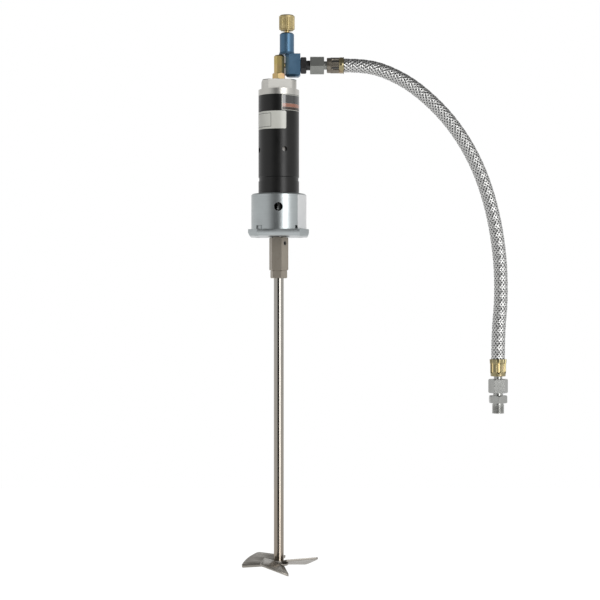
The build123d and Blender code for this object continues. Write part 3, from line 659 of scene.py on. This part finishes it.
def slotted_ferrule(name, place, length, radius, band, body, replaces, material, inner_material,
                    slot_half, foot, lip, slot_turn=0.5):
    """A crimp ferrule: rounded slots, each with a raised lip, are pressed into its wall."""
    slot_end = length - foot

    def profile(height):
        """Outside radius along the ferrule, from the hose's end to the nut's end."""
        from_nut = length - height
        if from_nut < end_round:
            return radius - end_drop + end_drop * quarter_round(from_nut / end_round)
        if height < band:
            return radius + mouth_flare * math.cos(math.pi / 2 * height / band) ** 0.5
        return radius

    def depth(angle, height):
        """How far the wall is pressed in at a point."""
        pitch = 2 * math.pi / ferrule_slots
        around = ((angle / pitch - slot_turn + 0.5) % 1 - 0.5) * pitch * radius
        beyond = max(0.0, height - (slot_end - slot_half))
        away = math.hypot(around, beyond) - slot_half
        if away < 0.0:
            return slot_press * min(1.0, -away / slot_wall)
        if away < lip:
            return -lip_height * math.sin(math.pi * away / lip)
        return 0.0

    heights = [length * step / 64 for step in range(65)]
    rows = [ring_at(radius - mouth_wall, rim_depth), ring_at(radius - mouth_wall, 0.0)]
    for height in heights:
        rows.append(lambda angle, height=height: (profile(height) - depth(angle, height), height))
    rows += [ring_at(end_bore, length), ring_at(end_bore, length - rim_depth)]
    shell = revolved(name, place, rows, ferrule_columns, material, body, smooth=50)
    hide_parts(replaces)

    # The hose's inner sleeve shows as a strip in each slot
    vertices, faces = [], []
    for number in range(ferrule_slots):
        middle = 2 * math.pi * (number + slot_turn) / ferrule_slots
        rings = []
        for step in range(13):
            height = window_start + (slot_end - window_cut) * step / 12
            into_end = max(0.0, (height - slot_end + window_round) / window_round)
            half = window_half * max(0.15, math.sqrt(max(0.0, 1 - into_end ** 2))) / radius
            ring = []
            for share in (-1.0, -0.5, 0.0, 0.5, 1.0):
                angle = middle + half * share
                reach = radius - window_sink + window_crown * (1 - share * share)
                ring.append(place @ Vector((reach * math.cos(angle), reach * math.sin(angle), height)))
            rings.append(ring)
        add_part(vertices, faces, *wrap(rings, closed=False))
    strips = mesh_piece(f"{name}_sleeve_strips", vertices, faces, inner_material, body, 50)
    return shell, strips


inlet_place = axis_frame((hose_start, 0, inlet_height), (-1, 0, 0))
outlet_place = axis_frame((outlet_x, 0, outlet_top), (0, 0, -1))
ferrule_length = inlet_high.x - inlet_low.x
# The inlet ferrule's shell takes the grey with painted shade and reflection; only its band below is
# coloured as brass
slotted_ferrule(
    "inlet_crimp_ferrule", inlet_place, ferrule_length, ferrule_radius, 1.0 * MM, "motor", "inlet_ferrule",
    ferrule_brass_painted_shade, gloss_black, 1.9 * MM, 4.4 * MM, 0.9 * MM)
outlet_shell, outlet_strips = slotted_ferrule(
    "outlet_crimp_ferrule", outlet_place, ferrule_length, ferrule_radius, 4.7 * MM, "motor",
    "outlet_ferrule", ferrule_brass, bright_brass, 2.1 * MM, 3.2 * MM, 1.5 * MM, slot_turn=0.048)

# The inlet ferrule's brass band, with a bulge that follows the six slots
band_length = 5.0 * MM
band_radius = 7.55 * MM
band_bulge = 0.6 * MM
band_wave = 0.22 * MM
bulge_reach = 2.6 * MM
band_rows = []
for step in range(15):
    height = band_length * step / 14

    def band_row(angle, height=height):
        bulge = math.sqrt(max(0.0, 1 - ((height - band_length / 2) / bulge_reach) ** 2))
        return band_radius + (band_bulge + band_wave * math.cos(6 * angle)) * bulge, height

    band_rows.append(band_row)
revolved("inlet_brass_band", inlet_place, band_rows, 144, ferrule_brass, "motor",
         smooth=60)

connector_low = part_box("outlet_connector")[0]
nut_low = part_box("outlet_union_nut")[0]
connector_length = nut_low.z - connector_low.z
connector_place = axis_frame((outlet_x, 0, nut_low.z), (0, 0, -1))

# The connector runs from inside the nut to the thread: neck, hexagon, groove, thread and bore
hex_flats = 17.0 * MM
hex_top, hex_bottom = 2.5 * MM, 10.0 * MM
hex_face = 8.2 * MM
hex_edge = 0.9 * MM
hex_shrink = 1.3 * MM
neck_start = -4.0 * MM
neck_bore, neck_radius = 4.0 * MM, 4.9 * MM
groove_radius, groove_width = 5.45 * MM, 1.7 * MM
thread_start = hex_bottom + 1.8 * MM
thread_length = connector_length - hex_bottom - 2.0 * MM
thread_radius, thread_depth, thread_pitch = 6.0 * MM, 0.40 * MM, 1.25 * MM
thread_end = 5.3 * MM
bore_radius, bore_depth = 2.75 * MM, 8.0 * MM
edge_shares = (0.0, 0.33, 0.66, 1.0)
connector_rows = [
    ring_at(neck_bore, neck_start),
    ring_at(neck_radius, neck_start),
    ring_at(neck_radius, hex_top),
    ring_at(hex_face, hex_top),
    *(hex_row(hex_flats, hex_top + hex_edge * share, hex_shrink * (1 - share)) for share in edge_shares),
    *(hex_row(hex_flats, hex_bottom - hex_edge * share, hex_shrink * (1 - share))
      for share in reversed(edge_shares)),
    ring_at(hex_face, hex_bottom),
    ring_at(groove_radius, hex_bottom),
    ring_at(groove_radius, hex_bottom + groove_width),
    *thread_rows(thread_radius, thread_depth, thread_pitch, thread_start, thread_length),
    ring_at(thread_end, connector_length),
    ring_at(bore_radius, connector_length),
    ring_at(bore_radius, connector_length - bore_depth),
]
connector = revolved("hose_end_connector", connector_place, connector_rows, 144, outlet_steel,
                     "motor", smooth=32)
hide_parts("outlet_connector")


# ---------------------------------------------------------------- braid

def spline_points():
    """Points read from the route's spline, evenly stepped, with the distance run to each."""
    bare = route_curve("braid_guide", 0.0)
    bpy.context.view_layer.update()
    graph = bpy.context.evaluated_depsgraph_get()
    line = bpy.data.meshes.new_from_object(bare.evaluated_get(graph))
    points = [vertex.co.copy() for vertex in line.vertices]
    bpy.data.objects.remove(bare)
    bpy.data.meshes.remove(line)
    if points[0].x > points[-1].x:
        points.reverse()
    runs = [0.0]
    for before, after in zip(points, points[1:]):
        runs.append(runs[-1] + (after - before).length)
    return points, runs


def along_line(points, runs, distance):
    """Place and direction at a distance along the line."""
    step = 0
    while step < len(runs) - 2 and runs[step + 1] < distance:
        step += 1
    share = (distance - runs[step]) / (runs[step + 1] - runs[step])
    here = points[step].lerp(points[step + 1], share)
    return here, (points[step + 1] - points[step]).normalized()


# Twelve bands run each way. A band's lay is the length of hose in which it goes round once.
carriers = 12
braid_lay = 0.052
braid_radius = 6.42 * MM
braid_weave = 0.18 * MM
band_half_width = 0.97 * MM
band_crown = 0.42 * MM
band_sink = 0.02 * MM
band_shares = (-1.0, -0.4, 0.4, 1.0)
uv_per_metre = 100
steps_per_crossing = 3
braid_slope = math.atan(2 * math.pi * braid_radius / braid_lay)
line_points, line_runs = spline_points()
line_length = line_runs[-1]
braid_step = braid_lay / (2 * carriers) / steps_per_crossing
braid_count = int(line_length / braid_step)
stations = [along_line(line_points, line_runs, line_length * step / braid_count)
            for step in range(braid_count + 1)]
braid_vertices, braid_faces, braid_across = [], [], []
for hand in (1, -1):
    for carrier in range(carriers):
        rows = []
        for step, (here, forward) in enumerate(stations):
            run = line_length * step / braid_count
            angle = hand * 2 * math.pi * run / braid_lay + 2 * math.pi * carrier / carriers
            side = Vector((0, 1, 0))
            upward = forward.cross(side)
            weave_turn = math.pi * 2 * carriers * run / braid_lay + math.pi * carrier
            lift = hand * braid_weave * math.cos(weave_turn)
            row = []
            for share in band_shares:
                shift = share * band_half_width
                turned = angle + hand * shift * math.cos(braid_slope) / braid_radius
                crown = band_crown * (1 - share * share)
                outward = upward * math.cos(turned) + side * math.sin(turned)
                place = here + outward * (braid_radius + lift + crown - band_sink)
                row.append(place - forward * (shift * math.sin(braid_slope)))
                braid_across.append((run * uv_per_metre, share * 0.5 + 0.5))
            rows.append(row)
        points, quads = wrap(rows, closed=False)
        add_part(braid_vertices, braid_faces, points, [quad[::hand] for quad in quads])
braid = mesh_piece("wire_braid", braid_vertices, braid_faces, PALETTE["braided_hose"], "motor",
                   smooth=60)
band_map = braid.data.uv_layers.new(name="band")
for loop in braid.data.loops:
    band_map.data[loop.index].uv = braid_across[loop.vertex_index]

air_hose.data.materials.append(hose_core)
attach(air_hose, "motor")
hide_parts("hose")


# ---------------------------------------------------------------- weld and grub screw

shaft_radius = 5.0 * MM
bead_gap = 0.05 * MM
bead_reach = 1.3 * MM
bead_height = 2.6 * MM
bead_ripple = 0.10 * MM
ripple_count, ripple_drift = 24, 2.5
bead_rows = []
for step in range(9):
    share = step / 8

    def bead_row(angle, share=share):
        ripple = bead_ripple * math.sin(ripple_count * angle + ripple_drift * math.sin(3 * angle))
        reach = bead_reach * (1 - math.sin(math.pi / 2 * share)) ** 0.8
        return shaft_radius + bead_gap + reach + ripple * (1 - share), bead_height * share

    bead_rows.append(bead_row)
bead_place = Matrix.Translation((0, 0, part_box("weld_bead")[0].z))
bead = revolved("weld_ripple", bead_place, bead_rows, 192, propeller_finish, "drive",
                smooth=60)
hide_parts("weld_bead")

grub_low, grub_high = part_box("grub_screw")
grub_middle = (grub_low + grub_high) / 2
grub_axis = Vector((grub_middle.x, grub_middle.y, 0)).normalized()
grub_place = grub_axis.to_track_quat("Z", "Y").to_matrix().to_4x4()
grub_place.translation = Vector((0, 0, grub_middle.z))
grub_foot, grub_face = 6.1 * MM, 8.0 * MM
grub_foot_radius, grub_radius, grub_face_radius = 1.9 * MM, 1.98 * MM, 1.7 * MM
grub_edge = 0.3 * MM
socket_flats, socket_depth = 2.0 * MM, 1.3 * MM
grub_rows = [
    ring_at(grub_foot_radius, grub_foot),
    ring_at(grub_radius, grub_face - grub_edge),
    ring_at(grub_face_radius, grub_face),
    hex_row(socket_flats, grub_face),
    hex_row(socket_flats, grub_face - socket_depth),
]
grub = revolved("socket_grub_screw", grub_place, grub_rows, 48, PALETTE["spring_steel"], "drive",
                smooth=30)
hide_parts("grub_screw")


# ---------------------------------------------------------------- floor, world and lights

floor_glow = 0.86
floor_grey = grey(0.42)
world_diffuse = 0.42
floor_drop = 0.7
floor_half = 6.0


def plain_surface(name, build):
    """A material whose surface is the shader socket that build(shader) gives."""
    shader = Shader(name)
    shader.tree.nodes.remove(shader.surface)
    shader.tree.links.new(build(shader), shader.tree.nodes["Material Output"].inputs["Surface"])
    return shader.material


def sheet(name, points, material):
    """A flat piece of the stage from the points of its outline."""
    data = bpy.data.meshes.new(name)
    data.from_pydata(points, [], [tuple(range(len(points)))])
    data.materials.append(material)
    return link(name, data)


def floor_surface(shader):
    """Pale floor: it shows white to the camera and in gloss, and still takes a soft shadow."""
    diffuse = shader.node("ShaderNodeBsdfDiffuse", {"Color": floor_grey}).outputs[0]
    glow = shader.calc("MULTIPLY", shader.seen_directly(), floor_glow)
    light = shader.node("ShaderNodeEmission", {"Color": grey(1.0), "Strength": glow}).outputs[0]
    return shader.node("ShaderNodeAddShader", {0: diffuse, 1: light}).outputs[0]


floor_level = cad_low.z - floor_drop
floor = sheet(
    "floor",
    [(x * floor_half, y * floor_half, floor_level) for x, y in ((-1, -1), (1, -1), (1, 1), (-1, 1))],
    plain_surface("floor_white", floor_surface))

# The world is white to the camera and in gloss, and its light on diffuse surfaces is weaker
world = bpy.data.worlds.new("studio")
bpy.context.scene.world = world
sky = Shader(world)
background = sky.tree.nodes["Background"].inputs
sky.put(background["Color"], grey(1.0))
sky.put(background["Strength"], sky.node("ShaderNodeMapRange", {
    "Value": sky.seen_directly(), "To Min": world_diffuse, "To Max": 1.0}).outputs[0])

studio_radius = 3.5


def soft_box(name, turns, levels, radiance, in_gloss=True):
    """An upright soft box on the studio's wall, between two angles and two heights."""
    turn = math.radians(sum(turns) / 2)
    width = 2 * studio_radius * math.tan(math.radians(turns[1] - turns[0]) / 2)
    height = levels[1] - levels[0]
    data = bpy.data.lights.new(name, "AREA")
    data.shape = "RECTANGLE"
    data.size = width
    data.size_y = height
    data.energy = radiance * math.pi * width * height
    lamp = link(name, data)
    lamp.location = (studio_radius * math.sin(turn), -studio_radius * math.cos(turn), sum(levels) / 2)
    lamp.rotation_euler = (math.pi / 2, 0, turn)
    lamp.visible_camera = False
    lamp.visible_glossy = in_gloss


soft_box("strip_box", turns=(16.5, 39), levels=(-1.02, 2.8), radiance=4.2)
soft_box("left_box", turns=(-110, -60), levels=(-0.8, 2.6), radiance=0.5, in_gloss=False)


def only_in_gloss(card):
    """Hides a studio card from everything except reflections."""
    card.visible_camera = False
    card.visible_diffuse = False
    card.visible_shadow = False
    card.visible_transmission = False


def dim_ceiling(shader):
    """Light that fades from the studio's wall to the middle of the ceiling."""
    place = shader.place()
    away = shader.node("ShaderNodeVectorMath", {0: place}, operation="LENGTH").outputs["Value"]
    share = shader.calc("DIVIDE", away, studio_radius)
    level = shader.ramp(share, (0.0, 0.22), (0.6, 0.30), (1.0, 0.75))
    return shader.node("ShaderNodeEmission", {"Color": level}).outputs[0]


ceiling_height = 1.75
ceiling = sheet(
    "ceiling_card",
    [(studio_radius * math.cos(math.pi * step / 24), studio_radius * math.sin(math.pi * step / 24), 0)
     for step in range(48)],
    plain_surface("dim_ceiling", dim_ceiling))
ceiling.location.z = ceiling_height
only_in_gloss(ceiling)


def dark_card(name, turns, levels, last_level):
    """A card that only gloss sees: it gives round metal its dark band beside the highlight."""
    def surface(shader):
        across = shader.node("ShaderNodeUVMap", uv_map="across").outputs[0]
        share = shader.component(across, "X")
        level = shader.ramp(share, (0.0, 1.0), (0.28, 0.37), (0.56, 0.07), (0.8, last_level),
                            (1.0, last_level))
        return shader.node("ShaderNodeEmission", {"Color": level}).outputs[0]

    steps = 24
    points, shares = [], []
    for step in range(steps + 1):
        share = step / steps
        angle = math.radians(turns[0] + (turns[1] - turns[0]) * share)
        for z in levels:
            points.append((studio_radius * math.sin(angle), -studio_radius * math.cos(angle), z))
            shares.append(share)
    faces = [(2 * step, 2 * step + 2, 2 * step + 3, 2 * step + 1) for step in range(steps)]
    data = bpy.data.meshes.new(name)
    data.from_pydata(points, [], faces)
    data.materials.append(plain_surface(name, surface))
    across_map = data.uv_layers.new(name="across")
    for loop in data.loops:
        across_map.data[loop.index].uv = (shares[loop.vertex_index], 0.5)
    only_in_gloss(link(name, data))


dark_card("dark_card", turns=(-46, 16), levels=(-1.03, 2.9), last_level=0.05)

bpy.context.scene.view_settings.view_transform = "Standard"
